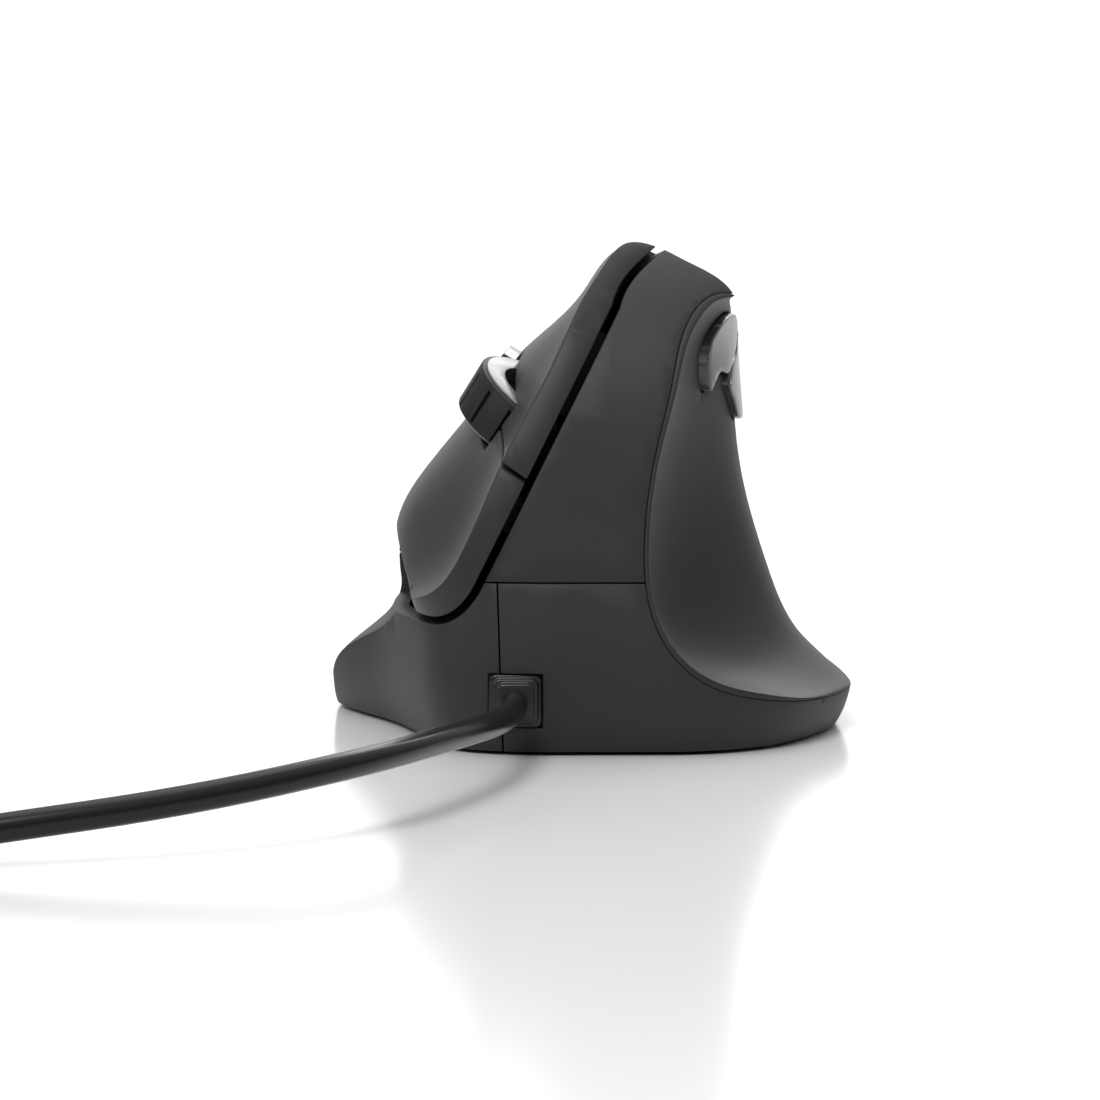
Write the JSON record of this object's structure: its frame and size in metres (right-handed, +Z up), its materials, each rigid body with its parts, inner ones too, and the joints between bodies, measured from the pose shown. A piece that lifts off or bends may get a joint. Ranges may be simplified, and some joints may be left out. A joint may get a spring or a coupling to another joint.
{
  "type": "vertical ergonomic mouse",
  "caption": "Right-handed vertical mouse: a tall moulded housing with a thumb scoop and wing, a sloping panel of click buttons round a treaded scroll wheel, and a coiled cable with its plug.",
  "frame": {"origin": "on the surface that the mouse stands on, under the middle of its body, without the cable", "axes": "-Y towards the cable end, +Y towards the palm end, +X towards the thumb side, -X towards the finger side, +Z up"},
  "size_m": [0.1954, 0.2263, 0.0704],
  "materials": {
    "soft_shell": "charcoal soft-touch coat",
    "soft_button": "charcoal soft-touch coat",
    "base": "black fine texture",
    "glide": "smooth low-friction film",
    "steel": "zinc-plated",
    "circuit_board": "black solder mask",
    "lens": "clear",
    "chip": "black epoxy",
    "white_nylon": "plain",
    "switch_body": "black",
    "panel_strip": "black fine texture",
    "resolution_top": "polished black",
    "thumb_gloss": "gunmetal gloss paint",
    "carrier_plastic": "black",
    "tyre_rubber": "matt rubber with a block tread",
    "hub_plastic": "light grey gloss",
    "cable_rubber": "satin moulded rubber",
    "cable_jacket": "smooth black jacket",
    "plug_steel": "nickel-plated"
  },
  "bodies": {
    "housing": {"thumb_grip": "soft_shell", "crown_shell": "soft_shell", "front_cover": "soft_shell", "finger_shell": "soft_shell", "palm_shell": "soft_shell", "base_plate": "base", "glide_feet": "glide", "housing_screws": "steel", "board_screws": "steel", "main_board": "circuit_board", "button_board": "circuit_board", "thumb_board": "circuit_board", "sensor_lens": "lens", "optical_sensor": "chip", "controller_chip": "chip", "cable_connector": "white_nylon", "plug_tongue": "white_nylon", "left_switch": "switch_body", "right_switch": "switch_body", "wheel_switch": "switch_body", "resolution_switch": "switch_body", "forward_switch": "switch_body", "back_switch": "switch_body", "scroll_encoder": "switch_body", "centre_strip": "panel_strip", "strain_relief": "cable_rubber", "plug_grip": "cable_rubber", "inner_lead": "cable_jacket", "cord": "cable_jacket", "cord_coil": "cable_jacket", "cord_tail": "cable_jacket", "plug_shell": "plug_steel"},
    "left_click": {"left_click_button": "soft_button"},
    "right_click": {"right_click_button": "soft_button"},
    "resolution": {"resolution_button": "resolution_top"},
    "forward": {"forward_button": "thumb_gloss"},
    "back": {"back_button": "thumb_gloss"},
    "carrier": {"wheel_carrier": "carrier_plastic"},
    "wheel": {"wheel_tyre": "tyre_rubber", "wheel_hub": "hub_plastic", "wheel_axle": "steel"}
  },
  "joints": [
    {"name": "left_click_hinge", "type": "hinge", "parent": "housing", "child": "left_click", "pos_m": [-0.01165, 0, 0.04272], "axis": [0.4469, 0, 0.8946], "range_deg": [0, 0.4], "stiffness_Nm_per_rad": 1},
    {"name": "right_click_hinge", "type": "hinge", "parent": "housing", "child": "right_click", "pos_m": [-0.01165, 0, 0.04272], "axis": [0.4469, 0, 0.8946], "range_deg": [0, 0.4], "stiffness_Nm_per_rad": 1},
    {"name": "wheel_press", "type": "slide", "parent": "housing", "child": "carrier", "axis": [0.848, 0, -0.5299], "range_m": [0, 0.0006], "stiffness_N_per_m": 1500},
    {"name": "wheel_spin", "type": "hinge", "parent": "carrier", "child": "wheel", "pos_m": [-0.0066, -0.03, 0.0445], "axis": [0.5119, -0.2588, 0.8192], "continuous": true},
    {"name": "resolution_press", "type": "slide", "parent": "housing", "child": "resolution", "axis": [0.848, 0, -0.5299], "range_m": [0, 0.0005], "stiffness_N_per_m": 1500},
    {"name": "forward_press", "type": "slide", "parent": "housing", "child": "forward", "axis": [-1, 0, 0], "range_m": [0, 0.0006], "stiffness_N_per_m": 1500},
    {"name": "back_press", "type": "slide", "parent": "housing", "child": "back", "axis": [-1, 0, 0], "range_m": [0, 0.0006], "stiffness_N_per_m": 1500}
  ]
}
